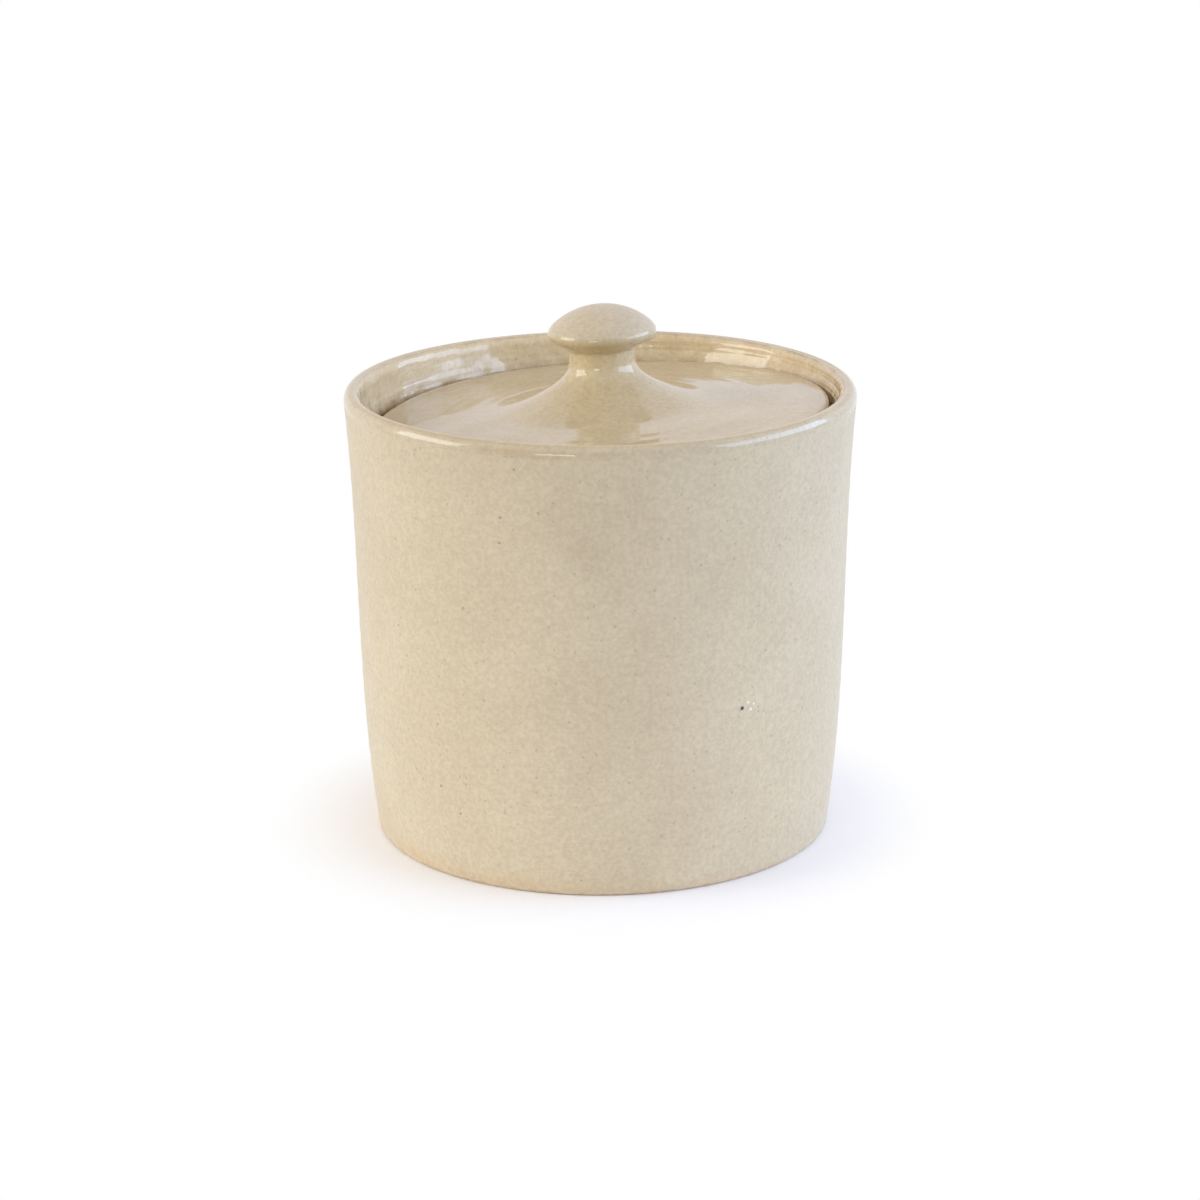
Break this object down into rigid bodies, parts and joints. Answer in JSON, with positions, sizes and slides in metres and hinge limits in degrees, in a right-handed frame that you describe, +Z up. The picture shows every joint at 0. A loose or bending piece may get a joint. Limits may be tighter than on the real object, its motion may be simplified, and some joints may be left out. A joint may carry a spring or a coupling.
{
  "type": "stoneware canister",
  "caption": "Round wheel-thrown stoneware canister with a rounded rim and an inset lid on an inner ledge, lifted by a mushroom knob; keeps dry food.",
  "frame": {"origin": "middle of the foot, on the plane that the jar stands on", "axes": "+Z up along the jar's axis, -Y towards the front seen in the picture, +X to the right in the picture"},
  "size_m": [0.13, 0.13, 0.1362],
  "materials": {
    "jar_glaze": "satin oatmeal glaze with fine iron speckle, glossy inside",
    "lid_glaze": "gloss"
  },
  "bodies": {
    "jar": {"jar_body": "jar_glaze"},
    "lid": {"lid": "lid_glaze", "lid_knob": "lid_glaze"}
  },
  "joints": [
    {"name": "lid_lift", "type": "slide", "parent": "jar", "child": "lid", "axis": [0, 0, 1], "range_m": [0, 0.15]}
  ]
}
